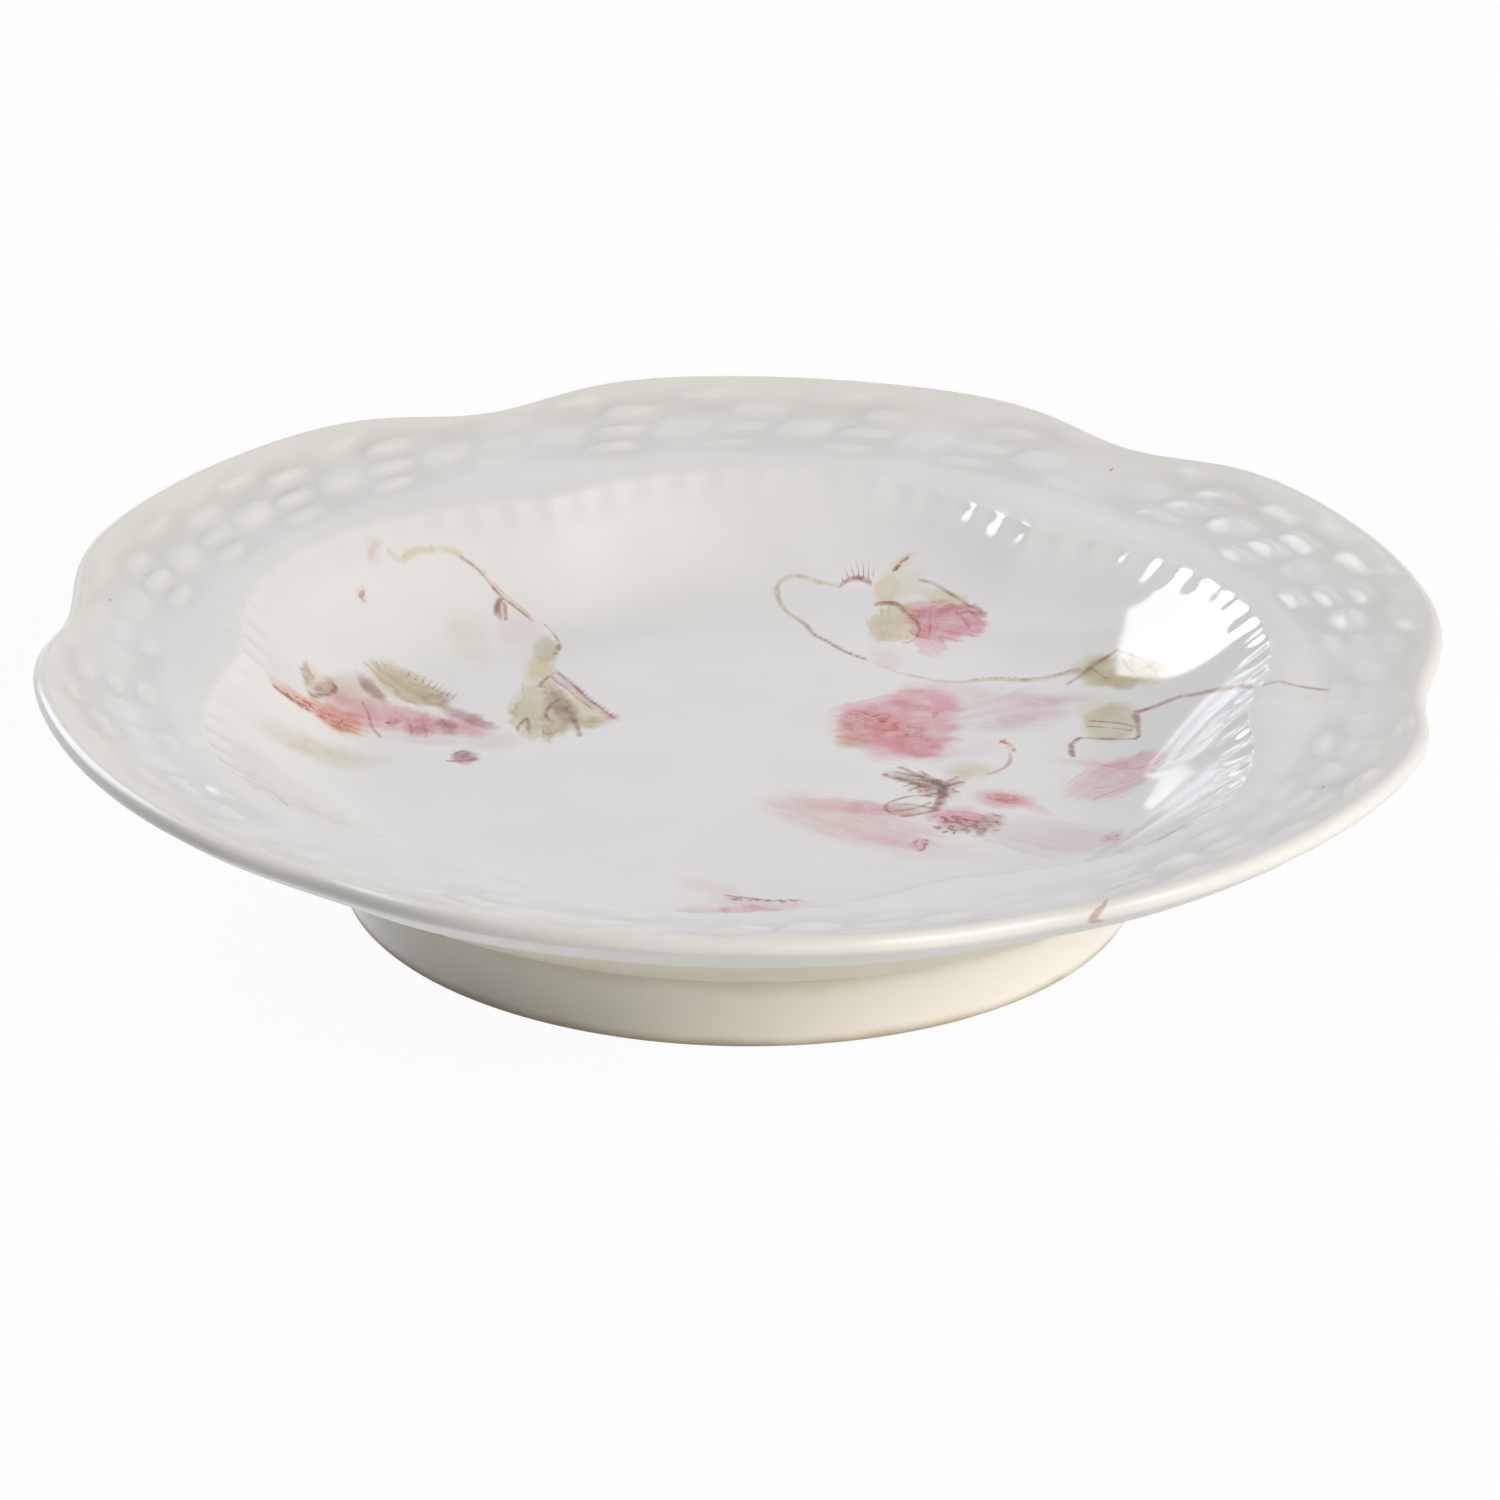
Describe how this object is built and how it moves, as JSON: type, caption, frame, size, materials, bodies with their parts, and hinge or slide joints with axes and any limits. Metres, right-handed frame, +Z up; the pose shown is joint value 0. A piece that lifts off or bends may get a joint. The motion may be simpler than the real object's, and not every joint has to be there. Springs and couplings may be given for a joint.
{
  "type": "butter pat",
  "caption": "Small lobed porcelain butter dish with a basketweave relief rim, a fluted well edge and floral sprays, standing on a tapered foot ring.",
  "frame": {"origin": "on the table, under the middle of the dish, at the centre of the foot ring's bearing face", "axes": "+Z up out of the well; +X through a notch between two lobes of the rim; +Y through the middle of a lobe"},
  "size_m": [0.078, 0.08, 0.0147],
  "materials": {
    "dish_porcelain": "clear gloss glaze over white porcelain, with pink, olive and brown floral sprays",
    "foot_porcelain": "clear gloss glaze, cream where it pools, wiped off the bearing face"
  },
  "bodies": {
    "root": {"dish": "dish_porcelain", "foot_ring": "foot_porcelain"}
  },
  "joints": []
}
